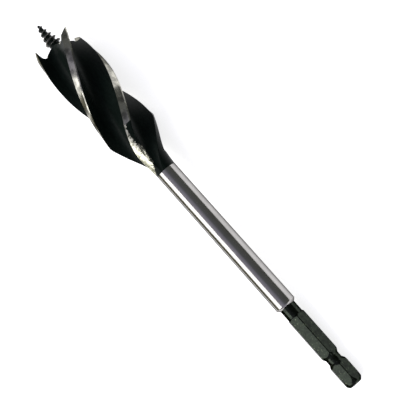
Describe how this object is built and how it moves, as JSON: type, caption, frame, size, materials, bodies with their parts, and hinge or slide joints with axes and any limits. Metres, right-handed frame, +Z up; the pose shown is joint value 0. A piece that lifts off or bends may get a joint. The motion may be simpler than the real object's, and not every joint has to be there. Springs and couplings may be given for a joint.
{
  "type": "wood drill bit",
  "caption": "Wood drill bit lying at rest: lead screw, fluted head with spurred cutters, round shank and hex quick-change end.",
  "frame": {"origin": "middle of the underside of the bit's box, on the floor it lies on", "axes": "+X along the bit from its screw to its hex end, +Z up from the floor; the axis leans 2.95 degrees, the screw higher"},
  "size_m": [0.1694, 0.02, 0.021],
  "materials": {
    "steel": "ground bright shank and lands, black oxide flutes, dark gunmetal hex end"
  },
  "bodies": {
    "root": {"drill_bit": "steel"}
  },
  "joints": []
}
